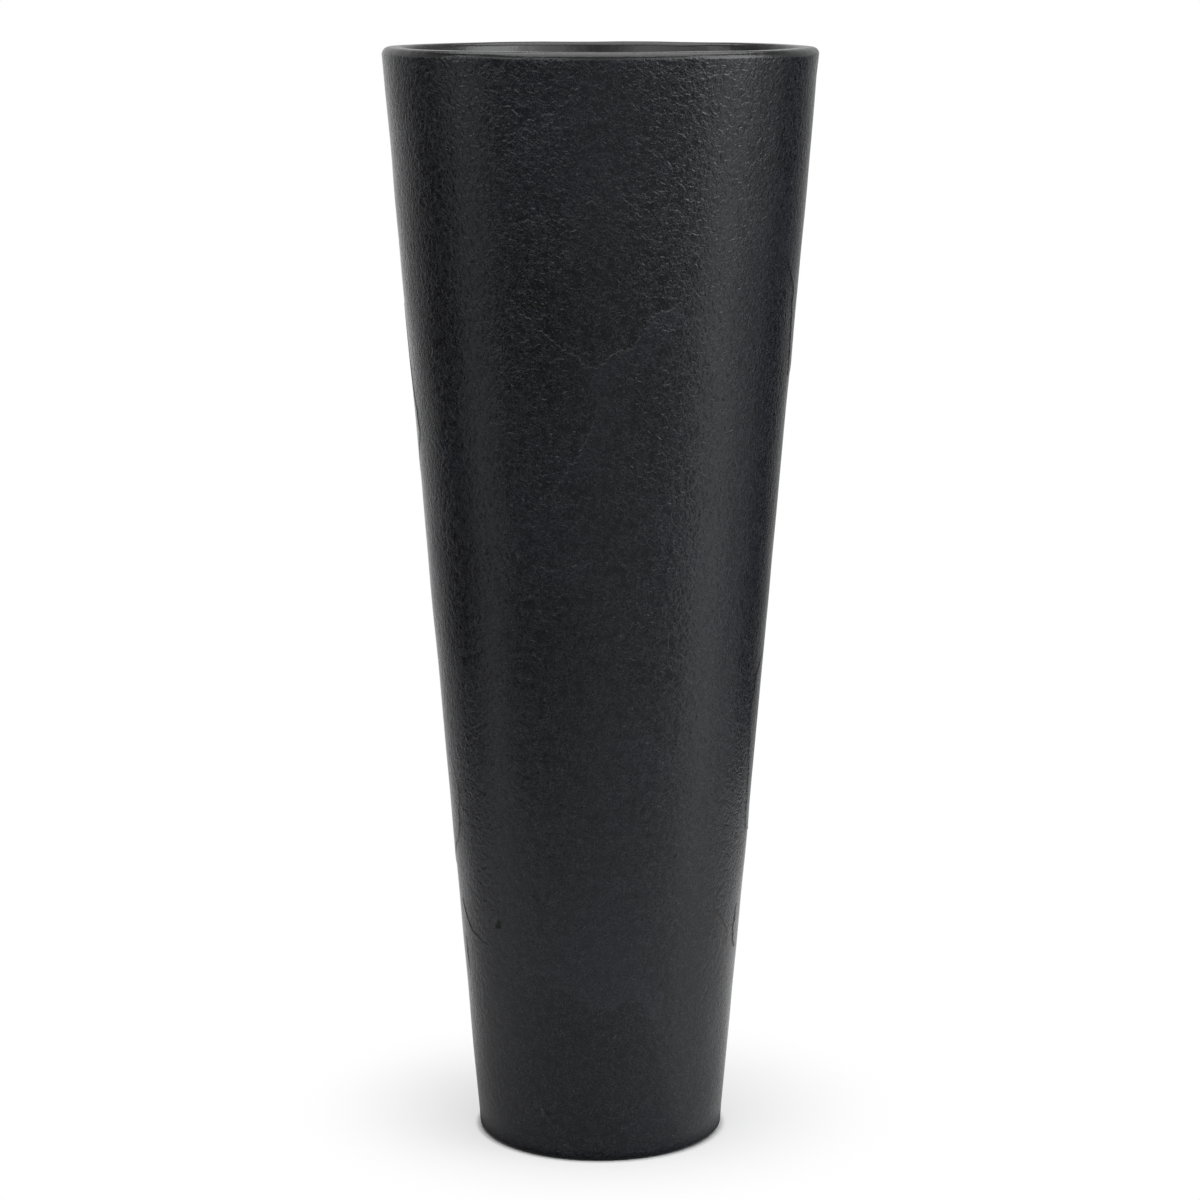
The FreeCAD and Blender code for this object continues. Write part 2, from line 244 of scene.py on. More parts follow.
# Colours
SLATE_DARK = (0.0003, 0.0007, 0.0022)
SLATE_LIGHT = (0.0108, 0.0123, 0.0195)
SLATE_LINE = (0.036, 0.042, 0.055)
SLATE_WORN_AND_LIT_EDGE = (0.062, 0.064, 0.068)
SLATE_CRACK = (0.0012, 0.0012, 0.0014)
SLATE_RUST = (0.036, 0.028, 0.026)
MICA = (0.10, 0.10, 0.10)
LIP_DARK = (0.0105, 0.011, 0.0125)
LIP_LIGHT = (0.021, 0.021, 0.022)
LAMINATE_DARK = (0.014, 0.014, 0.015)
LAMINATE_LIGHT = (0.034, 0.033, 0.032)
STRAND = (0.07, 0.068, 0.062)


# ---------------------------------------------------------------- shapes

def taper(height):
    """Outer radius of the planter at a height: a straight line from foot to mouth."""
    return FOOT_RADIUS + (MOUTH_RADIUS - FOOT_RADIUS) * height / HEIGHT


def ease(value):
    """0 below 0, 1 above 1, and a smooth S between: 3 x squared less 2 x cubed."""
    value = np.clip(value, 0, 1)
    return value * value * (3 - 2 * value)


def falloff(distance, width):
    """Bell curve: 1 at no distance, and e to the power -1/2 at one width."""
    return np.exp(-0.5 * (distance / width) ** 2)


def wave_field(around, up, seed, longest, shortest, count=44):
    """Plane waves of random heading and phase, added up, each as high as it is long and closed round
    the planter. The result has a root mean square of 1."""
    draw = np.random.default_rng(seed)
    mean_radius = 0.5 * (MOUTH_RADIUS + FOOT_RADIUS)
    total = np.zeros(np.broadcast(around, up).shape)
    power = 0.0
    for _ in range(count):
        length = longest * (shortest / longest) ** draw.random()
        heading = draw.random() * FULL_TURN
        turns = round(FULL_TURN * mean_radius / length * math.cos(heading))
        rise = FULL_TURN / length * math.sin(heading)
        height = length / longest
        total = total + height * np.sin(turns * around + rise * up + draw.random() * FULL_TURN)
        power += height * height / 2
    return total / math.sqrt(power)


def edge_noise(along, total, seed, longest, shortest, count=26):
    """Sines of random phase along a closed line, each as high as it is long; root mean square 1."""
    draw = np.random.default_rng(seed)
    out = np.zeros_like(along)
    power = 0.0
    for _ in range(count):
        length = longest * (shortest / longest) ** draw.random()
        turns = max(1, round(total / length))
        height = length / longest
        out += height * np.sin(FULL_TURN * turns * along / total + draw.random() * FULL_TURN)
        power += height * height / 2
    return out / math.sqrt(power)


def skin_radius(around, up):
    """Radius of the slate skin: the taper, set back, with long soft hollows that fade at both ends."""
    hollow = wave_field(around, up, HOLLOW_SEED, HOLLOW_LONGEST, HOLLOW_SHORTEST)
    hollow = hollow.clip(-HOLLOW_LIMIT, HOLLOW_LIMIT)
    fade = np.clip((WALL_TOP - up) / HOLLOW_FADE, 0, 1) * np.clip((up - WALL_FOOT) / HOLLOW_FADE, 0, 1)
    return taper(up) - SKIN_SETBACK + HOLLOW_DEPTH * hollow * fade


def skin_tone(around, up):
    """Tone of the bare skin: broad drifts, from -1 for cool and dark to +1 for warm and light."""
    return DRIFT_TONE * wave_field(around, up, DRIFT_SEED, DRIFT_LONGEST, DRIFT_SHORTEST)


def notch_painted_shade(around, up):
    """Painted shade: darker tone in the recessed notch above the two front leaves, deepest at its point: a
    round falloff about it.
    """
    across = around * taper(up)
    return NOTCH_PAINTED_SHADE * falloff(across - NOTCH_ACROSS, NOTCH_WIDTH) * falloff(up - NOTCH_UP, NOTCH_HEIGHT)


def warm_drift(around):
    """Warmer tint on the planter's left, as the photograph shows: a falloff about one heading."""
    return WARM_TINT * falloff(around - WARM_HEADING, WARM_WIDTH)


def foot_shade(around, up, on_leaf=False):
    """Lighter tone above the ragged edge near the foot, fading upwards and sideways, and darker below it. On
    the skin the lighter tone starts where the leaf already covers it."""
    spread = falloff(around * taper(up), FOOT_LIGHT_WIDTH)
    spread = spread * falloff(np.clip(up - FOOT_LIGHT_FADES_FROM, 0, None), FOOT_LIGHT_FADE)
    if on_leaf:
        return spread
    dark = FOOT_DARK_TONE * ((up - FOOT_DARK_STARTS) / FOOT_DARK_START_HEIGHT).clip(0, 1)
    return spread * (dark + (1 - dark) * ease((up - FOOT_LIGHT_STARTS) / FOOT_LIGHT_START_HEIGHT))


def on_wall(radius, around, up):
    """Points at a radius and height; angle 0 faces the camera and turns towards its right."""
    return np.stack([radius * np.sin(around), -radius * np.cos(around), up + 0 * around], -1).reshape(-1, 3)


def grid_faces(corner, closed=False):
    """Quads between neighbours in a grid of corner numbers. A closed grid also joins its last column to its
    first, and its last row to its first."""
    corner = np.pad(corner, (0, int(closed)), mode="wrap")
    return np.stack([corner[:-1, :-1], corner[:-1, 1:], corner[1:, 1:], corner[1:, :-1]], -1).reshape(-1, 4)


def ring(section, around):
    """Points and faces of a closed section carried round the axis. The section is a list of radius and
    height, each a number, a column or a row for every angle. Faces are reversed if they hold a negative
    volume, so that they point outwards."""
    radius, height = (np.vstack([part[k] + 0 * around for part in section]) for k in (0, 1))
    points = on_wall(radius, around, height)
    faces = grid_faces(np.arange(radius.size).reshape(radius.shape), closed=True)
    a, b, c, d = (points[faces[:, k]] for k in range(4))
    volume = np.einsum("ij,ij->i", a, np.cross(b, c) + np.cross(c, d)).sum()
    return points, faces if volume > 0 else faces[:, ::-1], height


def arc(centre_radius, centre_up, radius, angles):
    """Part of a section: a circle's radius and height at angles from level outwards, one row for each."""
    angles = np.asarray(angles)[:, None]
    return centre_radius + radius * np.cos(angles), centre_up + radius * np.sin(angles)


def piece(name, points, quads, material, slot, sides=(), body="planter", **layers):
    """Smooth-shaded piece at the origin, with a number per corner for each named layer."""
    mesh = bpy.data.meshes.new(name)
    mesh.from_pydata(points.tolist(), [], quads.tolist() + list(sides))
    mesh.shade_smooth()
    for layer, values in layers.items():
        attribute = mesh.attributes.new(layer, "FLOAT", "POINT")
        attribute.data.foreach_set("value", np.ascontiguousarray(values, np.float32).ravel())
    mesh.materials.append(material)
    made = bpy.data.objects.new(name, mesh)
    bpy.context.scene.collection.objects.link(made)
    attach(made, body)
    return made


def lip_round(around):
    """The lip's outer round at an angle: its radius, and the circle's centre (radius, height). Both wander a
    little, because the lip's top and the round do."""
    dip = (1 + edge_noise(around, FULL_TURN, LIP_TOP_SEED, 1.3, 0.35)).clip(0, 2.5)
    top = HEIGHT - LIP_TOP_DROP - LIP_TOP_WANDER * dip
    swell = edge_noise(around, FULL_TURN, OUTER_ROUND_SEED, 1.2, 0.3).clip(-2, 2)
    rounding = LIP_OUTER_RADIUS + OUTER_ROUND_WANDER * swell
    centre_up = top - rounding
    centre_radius = taper(centre_up) - SKIN_SETBACK - rounding / math.cos(LEAN)
    return rounding, centre_radius, centre_up


def slate_skin(material):
    """Closed skin, carried round the axis. Its section goes down the outside from a ragged edge that laps
    onto the lip's round, round the foot edge, under the wall and up the inside. Only the outside carries
    the soft hollows."""
    around = np.linspace(0, FULL_TURN, SKIN_COLUMNS, endpoint=False)[None, :]
    rounding, centre_radius, centre_up = lip_round(around)
    wander = 0.8 * edge_noise(around, FULL_TURN, LAP_SEEDS[0], 0.9, 0.15).clip(-2, 2)
    wander = wander + 0.35 * edge_noise(around, FULL_TURN, LAP_SEEDS[1], 0.1, 0.03)
    edge_rise = HEIGHT - SKIN_LAP + LAP_WANDER * wander - centre_up
    edge_angle = np.arcsin((edge_rise / rounding).clip(LAP_LOWEST, LAP_HIGHEST))
    depth, share = (np.array(values)[:, None] for values in zip(*LAP_SECTION))
    lap_angle = -LEAN + (edge_angle + LEAN) * share
    lap_radius = rounding - depth * MM
    lap = (centre_radius + lap_radius * np.cos(lap_angle), centre_up + lap_radius * np.sin(lap_angle))
    corner = WALL_FOOT + FOOT_EDGE_RADIUS
    up = np.linspace(WALL_TOP, corner, SKIN_ROWS)[:, None]
    outside = skin_radius(around, up)
    bend = np.linspace(0, -math.pi / 2, FOOT_EDGE_ROWS + 1)[1:]
    foot_edge = arc(outside[-1:] - FOOT_EDGE_RADIUS, corner, FOOT_EDGE_RADIUS, bend)
    under_up = np.array([WALL_FOOT, WALL_FOOT + FACING_THICKNESS])[:, None]
    back_up = np.linspace(WALL_FOOT + FACING_THICKNESS, WALL_TOP + SKIN_BACK_OVERLAP, SKIN_BACK_ROWS)[:, None]
    section = [lap, (outside, up), foot_edge, (taper(under_up) - WALL_THICKNESS, under_up),
               (taper(back_up) - FACING_THICKNESS, back_up)]
    points, faces, height = ring(section, around)
    front = (around + math.pi) % FULL_TURN - math.pi
    tone = skin_tone(around, height) + notch_painted_shade(front, height) + foot_shade(front, height)
    edge_marks = np.zeros_like(tone)
    edge_marks[LAP_WORN_ROWS] = LAP_WEAR
    skin = piece("slate_skin", points, faces, material, "slate_finish", tone=tone, edge=edge_marks,
                 rust=warm_drift(front) + 0 * height)
    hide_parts("slate_facing")
    return skin


def rolled_lip(material):
    """Closed lip: a section of outer side, outer round, flat top, inner round, leaning skirt and return,
    carried round the axis. Its rounds and top wander a little with the angle."""
    around = np.linspace(0, FULL_TURN, LIP_COLUMNS, endpoint=False)[None, :]
    rounding, centre_radius, centre_up = lip_round(around)
    outer_round = rounding - LIP_UNDER_SKIN
    swell = edge_noise(around, FULL_TURN, INNER_ROUND_SEED, 1.0, 0.25).clip(-2, 2)
    inner_round = LIP_INNER_RADIUS + INNER_ROUND_WANDER * swell
    crown = centre_up + outer_round
    inner_radius = MOUTH_RADIUS - LIP_WIDTH + inner_round
    skirt_top = crown - inner_round
    skirt_end = HEIGHT - SKIRT_DEPTH
    across_top = np.array([0.3, 0.7])[:, None]
    down_skirt = np.linspace(0.1, 1, 8)[:, None]
    skirt_up = skirt_top * (1 - down_skirt) + (skirt_end + SKIRT_BEND) * down_skirt
    skirt_foot = taper(skirt_end) - LIP_WIDTH
    skirt_back = taper(skirt_end) - WALL_THICKNESS
    web = skirt_end + SKIRT_THICKNESS
    section = [
        (taper(LIP_START) - LIP_START_DEPTH, LIP_START),
        (taper(LIP_START) - SKIN_SETBACK - LIP_UNDER_SKIN, LIP_START),
        arc(centre_radius, centre_up, outer_round, np.linspace(-LEAN, math.pi / 2, 18)),
        (centre_radius + (inner_radius - centre_radius) * across_top, crown - LIP_TOP_DROP + 0 * across_top),
        arc(inner_radius, skirt_top, inner_round, np.linspace(math.pi / 2, math.pi - LEAN, 14)),
        (taper(skirt_up) - LIP_WIDTH, skirt_up),
        arc(skirt_foot + SKIRT_BEND, skirt_end + SKIRT_BEND, SKIRT_BEND, np.radians((200, 225, 250, 270))),
        (skirt_back, skirt_end),
        (skirt_back + SKIRT_RETURN, web),
        (taper(web) - LIP_WIDTH + SKIRT_THICKNESS, web),
        (taper(WALL_TOP) - LIP_WIDTH + SKIRT_THICKNESS, WALL_TOP),
        (taper(WALL_TOP) - LIP_BACK_DEPTH, WALL_TOP),
    ]
    points, faces, _ = ring(section, around)
    lip = piece("rolled_lip", points, faces, material, "rim_gelcoat")
    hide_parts("rim_ring")
    return lip


def ragged_outline(corners, seed, long_wave, short_wave):
    """Corners resampled along the outline and pushed to and fro across it by sines. Gives mm round,
    mm up and step weight of each point."""
    outline = np.array(corners, float)
    closed = np.vstack([outline, outline[:1]])
    mark = np.concatenate([[0], np.cumsum(np.hypot(*np.diff(closed[:, :2], axis=0).T))])
    total = mark[-1]
    along = np.linspace(0, total, max(OUTLINE_FEWEST, int(total / OUTLINE_SPACING)), endpoint=False)
    across, up, step = (np.interp(along, mark, closed[:, k]) for k in range(3))
    slope = np.gradient(np.stack([across, up]), axis=1)
    normal = np.stack([-slope[1], slope[0]]) / np.maximum(np.hypot(*slope), 1e-9)
    push = edge_noise(along, total, seed, 30, 9) * long_wave
    push = push + edge_noise(along, total, seed + 1, 8, 2.4) * short_wave
    return across + normal[0] * push, up + normal[1] * push, step


def rough_outline(across, up, width, height, seed, corners, jitter, least, heading_deg=None):
    """Corners of a layer: an ellipse whose corners are moved along it and in and out at random. Its edge
    steps all round, or only on the side it heads to."""
    draw = np.random.default_rng(seed)
    turn = FULL_TURN * (np.arange(corners) + jitter * draw.random(corners)) / corners
    size = 0.5 * (least + 0.5 * draw.random(corners))
    step = np.ones(corners)
    if heading_deg is not None:
        step = (1.6 * np.cos(turn - math.radians(heading_deg)) + 0.1).clip(0, 1)
    return np.stack([across + width * size * np.cos(turn), up + height * size * np.sin(turn), step], -1)


def leaf_over_skin(across, up, outline):
    """For points (mm round, mm up): distance in mm to the outline, positive inside it by the even-odd rule,
    and the step weight of the nearest stretch."""
    x0, y0, w0 = (values[None, :] for values in outline)
    x1, y1, w1 = (np.roll(values, -1)[None, :] for values in outline)
    run, climb = x1 - x0, y1 - y0
    squared = np.maximum(run ** 2 + climb ** 2, 1e-9)
    away = np.empty(across.size)
    weight = np.empty(across.size)
    for part in np.array_split(np.arange(across.size), max(1, across.size // POINTS_AT_ONCE)):
        px, py = across.ravel()[part, None], up.ravel()[part, None]
        share = (((px - x0) * run + (py - y0) * climb) / squared).clip(0, 1)
        gap = (px - x0 - share * run) ** 2 + (py - y0 - share * climb) ** 2
        nearest = gap.argmin(1)[:, None]
        crossed = ((y0 > py) != (y1 > py)) & (px < x0 + (py - y0) * run / np.where(climb == 0, 1e-9, climb))
        inside = crossed.sum(1) % 2 == 1
        away[part] = np.sqrt(np.take_along_axis(gap, nearest, 1)[:, 0]) * np.where(inside, 1, -1)
        at = np.take_along_axis(share, nearest, 1)[:, 0]
        weight[part] = w0[0, nearest[:, 0]] * (1 - at) + w1[0, nearest[:, 0]] * at
    return away.reshape(across.shape), weight.reshape(across.shape)


def painted_facet_light_and_shade(across, up, outline, heading_deg):
    """Painted light and shade of a chip with two facets: lighter past the ridge through its middle, darker
    before it.
    """
    heading = math.radians(heading_deg)
    past_ridge = (across - outline[0].mean()) * math.cos(heading)
    past_ridge = past_ridge + (up - outline[1].mean()) * math.sin(heading)
    share = (past_ridge / FACET_RAMP).clip(-1, 1)
    return np.where(share > 0, FACET_PAINTED_LIGHT, -FACET_PAINTED_SHADE) * np.abs(share)


def cleft_patch(leaves, spacing, margin=3.0, ragged=(0.75, 0.5)):
    """Closed sheet that lies in the skin and rises above it as leaves. Height over the skin = a ramp across a
    leaf's edge, from buried outside to lift * weight * exp(-distance / reach) inside; the highest leaf
    counts. The sheet's bottom follows the wall in straight lines, and its sides are two flat faces.
    Spacing, margin and ragged, the height of the long and short waves along the edges, are in mm."""
    outlines = [ragged_outline(leaf.corners, leaf.seed, *ragged) for leaf in leaves]
    stepping = [(a[w > LEAF_STEPS_ABOVE], u[w > LEAF_STEPS_ABOVE]) for a, u, w in outlines]
    low = max(min(u.min() for _, u in stepping) - LEAF_REACH - margin, LEAF_LOWEST)
    high = min(max(u.max() for _, u in stepping) + margin, LEAF_HIGHEST)
    left = min(a.min() for a, _ in stepping) - LEAF_REACH - margin
    right = max(a.max() for a, _ in stepping) + LEAF_REACH + margin
    columns = max(8, int((right - left) / spacing))
    rows = max(8, int((high - low) / spacing))
    low_radius = taper(low * MM) / MM
    around, up = np.meshgrid(np.linspace(left / low_radius, right / low_radius, columns),
                             np.linspace(low, high, rows))
    across = around * taper(up * MM) / MM
    bare_tone = skin_tone(around, up * MM)
    leaf_tone = bare_tone + foot_shade(around, up * MM, on_leaf=True)
    height = np.full(up.shape, LEAF_OUTSIDE)
    tone = bare_tone
    edge_marks = np.zeros(up.shape)
    rust = warm_drift(around)
    for leaf, outline in zip(leaves, outlines):
        away, weight = leaf_over_skin(across, up, outline)
        cover = weight * np.exp(-np.maximum(away, 0) / LEAF_REACH)
        inside = leaf.lift * cover + LEAF_MERGED * (1 - cover)
        lifted = LEAF_OUTSIDE + (inside - LEAF_OUTSIDE) * ease(away / LEAF_EDGE_WIDTH + 0.5)
        above = lifted > height
        # A leaf's edge mark: pale wear that is partly a painted highlight, or for a chip the painted light and
        # shade of its facets
        if leaf.facet is None:
            wear = leaf.wear * weight * np.exp(-((away - WEAR_INSIDE) / WEAR_WIDTH) ** 2)
        else:
            wear = painted_facet_light_and_shade(across, up, outline, leaf.facet)
        tone = np.where(above, leaf_tone + leaf.shade * cover, tone)
        edge_marks = np.where(above, wear, edge_marks)
        rust = np.where(above, np.maximum(leaf.rust * cover, rust), rust)
        height = np.maximum(height, lifted)
    top = on_wall(skin_radius(around, up * MM) + height, around, up * MM)
    base_up = up[[0, -1]] * MM
    base = on_wall(taper(base_up) - SKIN_SETBACK - LEAF_BOTTOM, around[[0, -1]], base_up)
    grid = np.arange(rows * columns).reshape(rows, columns)
    under = rows * columns + np.arange(2 * columns).reshape(2, columns)
    quads = np.vstack([grid_faces(grid), grid_faces(under)[:, ::-1],
                       grid_faces(np.stack([under[0], grid[0]])), grid_faces(np.stack([grid[-1], under[1]]))])
    sides = [np.concatenate([grid[::-1, 0], under[:, 0]]), np.concatenate([under[::-1, -1], grid[:, -1]])]
    layers = [np.concatenate([values.ravel(), np.zeros(2 * columns)]) for values in (tone, edge_marks, rust)]
    return Patch(np.vstack([top, base]), quads, sides, *layers)


def joined_patches(name, patches, material):
    """Several cleft patches as one piece."""
    starts = np.cumsum([0] + [len(patch.points) for patch in patches[:-1]])
    points = np.vstack([patch.points for patch in patches])
    quads = np.vstack([patch.quads + start for patch, start in zip(patches, starts)])
    sides = [(side + start).tolist() for patch, start in zip(patches, starts) for side in patch.sides]
    tone, edge, rust = (np.concatenate([getattr(patch, layer) for patch in patches])
                        for layer in ("tone", "edge", "rust"))
    return piece(name, points, quads, material, "slate_finish", sides, tone=tone, edge=edge, rust=rust)


# ---------------------------------------------------------------- finishes

class Nodes:
    """Nodes of a material or a world. Each call adds a node or a few and gives back the socket they end in."""

    def __init__(self, owner, coordinates="Object"):
        owner.use_nodes = True
        self.owner = owner
        self.tree = owner.node_tree
        self.tree.nodes.clear()
        self.place = self.add("TexCoord", coordinates)

    def add(self, kind, output, inputs=None, **settings):
        node = self.tree.nodes.new("ShaderNode" + kind)
        for key, value in settings.items():
            setattr(node, key, value)
        for key, value in (inputs or {}).items():
            if isinstance(value, bpy.types.NodeSocket):
                self.tree.links.new(value, node.inputs[key])
            else:
                node.inputs[key].default_value = value
        return node.outputs[output] if output is not None else node

    def drawn_out(self, x, y, z):
        """Coordinates scaled unevenly."""
        return self.add("Mapping", "Vector", {"Vector": self.place, "Scale": (x, y, z)})

    def noise(self, scale, detail=2.0, rough=0.5, twist=0.0, place=None):
        inputs = {"Vector": place or self.place, "Scale": scale, "Detail": detail, "Roughness": rough,
                  "Distortion": twist}
        return self.add("TexNoise", 0, inputs)

    def layer(self, name):
        """A number that the mesh carries at each corner."""
        return self.add("Attribute", "Fac", attribute_name=name)

    def maths(self, operation, a, b=0.0):
        return self.add("Math", 0, {0: a, 1: b}, operation=operation)

    def plus(self, a, b):
        return self.maths("ADD", a, b)

    def times(self, a, b):
        return self.maths("MULTIPLY", a, b)

    def around_middle(self, noise, gain):
        """A noise moved to swing about 0, times a gain."""
        return self.times(self.maths("SUBTRACT", noise, 0.5), gain)

    def spread(self, value, low, high, to_low=0.0, to_high=1.0):
        """A value carried smoothly from one range to another and held at the ends."""
        inputs = {"Value": value, "From Min": low, "From Max": high, "To Min": to_low, "To Max": to_high}
        return self.add("MapRange", 0, inputs, interpolation_type="SMOOTHSTEP")

    def ridges(self, noise, width):
        """Narrow winding lines, where a noise crosses its middle value."""
        away = self.maths("ABSOLUTE", self.maths("SUBTRACT", noise, 0.5))
        return self.spread(away, 0.0, width, 1.0, 0.0)

    def axes(self):
        """X, Y and Z of the place."""
        return self.add("SeparateXYZ", None, {0: self.place}).outputs

    def lap(self):
        """Share of a lap round the planter, 0.5 towards the camera and growing towards its right."""
        axes = self.axes()
        turn = self.maths("ARCTAN2", axes["X"], self.times(axes["Y"], -1.0))
        return self.plus(self.maths("DIVIDE", turn, FULL_TURN), 0.5)

    def curve(self, lap, stops):
        """Brightness along a lap of the planter, eased between stops of (degrees, brightness)."""
        node = self.tree.nodes.new("ShaderNodeValToRGB")
        self.tree.links.new(lap, node.inputs["Fac"])
        node.color_ramp.interpolation = "EASE"
        handles = node.color_ramp.elements
        for degrees, _ in stops[1:-1]:
            handles.new(degrees / 360 + 0.5)
        for handle, (degrees, brightness) in zip(handles, stops):
            handle.position = degrees / 360 + 0.5
            handle.color = (brightness, brightness, brightness, 1.0)
        return node.outputs["Color"]

    def mix(self, amount, low, high):
        """A number between two numbers."""
        return self.add("Mix", 0, {0: amount, 2: low, 3: high}, data_type="FLOAT")

    def blend(self, amount, low, high):
        """A colour between two colours."""
        ends = [c if isinstance(c, bpy.types.NodeSocket) else (*c, 1.0) for c in (low, high)]
        return self.add("Mix", 2, {0: amount, 6: ends[0], 7: ends[1]}, data_type="RGBA")

    def bump(self, height, depth, under=None):
        inputs = {"Height": height, "Distance": depth, "Strength": 1.0}
        if under is not None:
            inputs["Normal"] = under
        return self.add("Bump", 0, inputs)

    def seen_directly(self):
        """1 for rays from the camera."""
        return self.add("LightPath", "Is Camera Ray")

    def mirrored(self):
        """1 for rays that come off a shiny surface or through a clear one."""
        path = self.add("LightPath", None).outputs
        return self.maths("MAXIMUM", path["Is Glossy Ray"], path["Is Transmission Ray"])

    def finish(self, colour, roughness, normal):
        """Ends in the shader, whose specular level is a plain number on its own socket."""
        inputs = {"Base Color": colour, "Roughness": roughness, "Normal": normal, "Specular IOR Level": 0.5}
        shader = self.add("BsdfPrincipled", 0, inputs)
        self.add("OutputMaterial", None, {"Surface": shader})
        return self.owner


def material_nodes(name):
    return Nodes(bpy.data.materials.new(name))


def slate_finish():
    """Dark slate effect: cool and warm drifts, blotches, worn edges that are partly a painted highlight,
    painted light and shade on chip facets, cracked edges, mica flecks and a fine grain of pale, broken, winding
    lines."""
    f = material_nodes("slate_effect")
    drift = f.noise(7.0, detail=3.0, rough=0.55, twist=0.6)
    blotch = f.noise(26.0, detail=4.0, rough=0.6, twist=0.8)
    grain = f.noise(620.0, detail=1.0, twist=0.7)
    lines = f.ridges(f.noise(430.0, detail=0.0, twist=1.2), width=0.085)
    lines = f.times(lines, f.spread(f.noise(120.0), 0.30, 0.52, to_low=0.3))
    tone = f.plus(f.layer("tone"), f.around_middle(drift, 1.3))
    tone = f.plus(tone, f.around_middle(blotch, 0.45))
    tone = f.plus(tone, f.around_middle(grain, 3.4))
    colour = f.blend(f.spread(tone, -1.7, 2.2), SLATE_DARK, SLATE_LIGHT)
    colour = f.blend(f.times(lines, 0.9), colour, SLATE_LINE)
    # Edge marks: pale wear that is partly a painted highlight, painted light and shade on chip facets, and dark
    # cracks below 0
    wear = f.layer("edge")
    crack = f.maths("MAXIMUM", f.times(wear, -1.0), 0.0)
    broken = f.spread(f.noise(75.0), 0.32, 0.58)
    colour = f.blend(f.times(f.maths("MAXIMUM", wear, 0.0), broken), colour, SLATE_WORN_AND_LIT_EDGE)
    colour = f.blend(crack, colour, SLATE_CRACK)
    colour = f.blend(f.times(f.layer("rust"), 0.45), colour, SLATE_RUST)
    cells = f.add("TexVoronoi", "Distance", {"Scale": 210.0, "Vector": f.place})
    fleck = f.times(f.spread(cells, 0.05, 0.13, to_low=1.0, to_high=0.0), f.spread(f.noise(160.0), 0.58, 0.64))
    colour = f.blend(f.times(fleck, 0.5), colour, MICA)
    roughness = f.spread(f.plus(blotch, f.times(drift, 0.6)), 0.5, 1.1, to_low=0.12, to_high=0.17)
    roughness = f.plus(roughness, f.times(crack, 0.7))
    normal = f.bump(f.noise(210.0, detail=1.0, twist=0.9), depth=0.76 * MM)
    normal = f.bump(f.plus(grain, f.times(lines, 0.3)), depth=0.14 * MM, under=normal)
    return f.finish(colour, roughness, normal)


def lip_finish():
    """Smooth dark gelcoat, a little uneven, with faint pits and streaks down the inner skirt."""
    f = material_nodes("smooth_gelcoat")
    drift = f.noise(18.0, detail=3.0, twist=0.5)
    streak = f.noise(1.0, detail=3.0, rough=0.6, twist=0.3, place=f.drawn_out(120.0, 120.0, 9.0))
    mix = f.plus(f.times(drift, 0.6), f.times(streak, 0.4))
    colour = f.blend(f.spread(mix, 0.35, 0.65), LIP_DARK, LIP_LIGHT)
    roughness = f.spread(mix, 0.3, 0.7, to_low=0.17, to_high=0.27)
    normal = f.bump(f.noise(70.0, detail=3.0, twist=0.3), depth=0.6 * MM)
    normal = f.bump(f.noise(520.0), depth=0.08 * MM, under=normal)
    return f.finish(colour, roughness, normal)


def laminate_finish():
    """Painted glass-fibre laminate: short strands at two headings under dark flow coat."""
    f = material_nodes("glass_fibre_laminate")
    upright = f.noise(1.0, rough=0.6, twist=0.6, place=f.drawn_out(420.0, 420.0, 38.0))
    level = f.noise(1.0, rough=0.6, twist=0.6, place=f.drawn_out(46.0, 46.0, 430.0))
    strands = f.maths("MAXIMUM", upright, level)
    cloud = f.noise(14.0, detail=3.0, rough=0.6, twist=0.4)
    colour = f.blend(f.spread(cloud, 0.3, 0.7), LAMINATE_DARK, LAMINATE_LIGHT)
    colour = f.blend(f.spread(strands, 0.62, 0.8, to_high=0.45), colour, STRAND)
    roughness = f.spread(cloud, 0.3, 0.7, to_low=0.42, to_high=0.62)
    normal = f.bump(f.noise(55.0, detail=3.0), depth=1.1 * MM)
    normal = f.bump(strands, depth=0.5 * MM, under=normal)
    return f.finish(colour, roughness, normal)


def moulded_finish(name, dark, light, smoothest, roughest, grain_scale, grain_depth):
    """Moulded plastic, rubber or foam: faint drifts of tone, a fine even grain and scattered scuffs."""
    f = material_nodes(name)
    cloud = f.noise(30.0, detail=3.0, rough=0.55, twist=0.3)
    scuff = f.ridges(f.noise(85.0, twist=2.0), width=0.02)
    colour = f.blend(f.spread(cloud, 0.3, 0.7), dark, light)
    colour = f.blend(f.times(scuff, 0.25), colour, tuple(min(1.0, 2.2 * c) for c in light))
    roughness = f.spread(f.plus(cloud, f.times(scuff, 0.3)), 0.3, 0.9, to_low=smoothest, to_high=roughest)
    return f.finish(colour, roughness, f.bump(f.noise(grain_scale), grain_depth))


def dress(node, material):
    """Gives a carried-over CAD piece its finish."""
    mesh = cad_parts[node].data
    mesh.materials.clear()
    mesh.materials.append(material)


# ---------------------------------------------------------------- studio

def add_camera():
    """Camera before the planter, tipped down at it."""
    data = bpy.data.cameras.new("camera")
    data.lens = LENS_MM
    data.sensor_width = SENSOR_MM
    data.clip_end = CAMERA_SEES_TO
    camera = bpy.data.objects.new("camera", data)
    camera.location = (CAMERA_SIDE, -CAMERA_DISTANCE, CAMERA_HEIGHT)
    camera.rotation_euler = (math.radians(90 - CAMERA_PITCH_DEG), 0, 0)
    bpy.context.scene.collection.objects.link(camera)
    bpy.context.scene.camera = camera


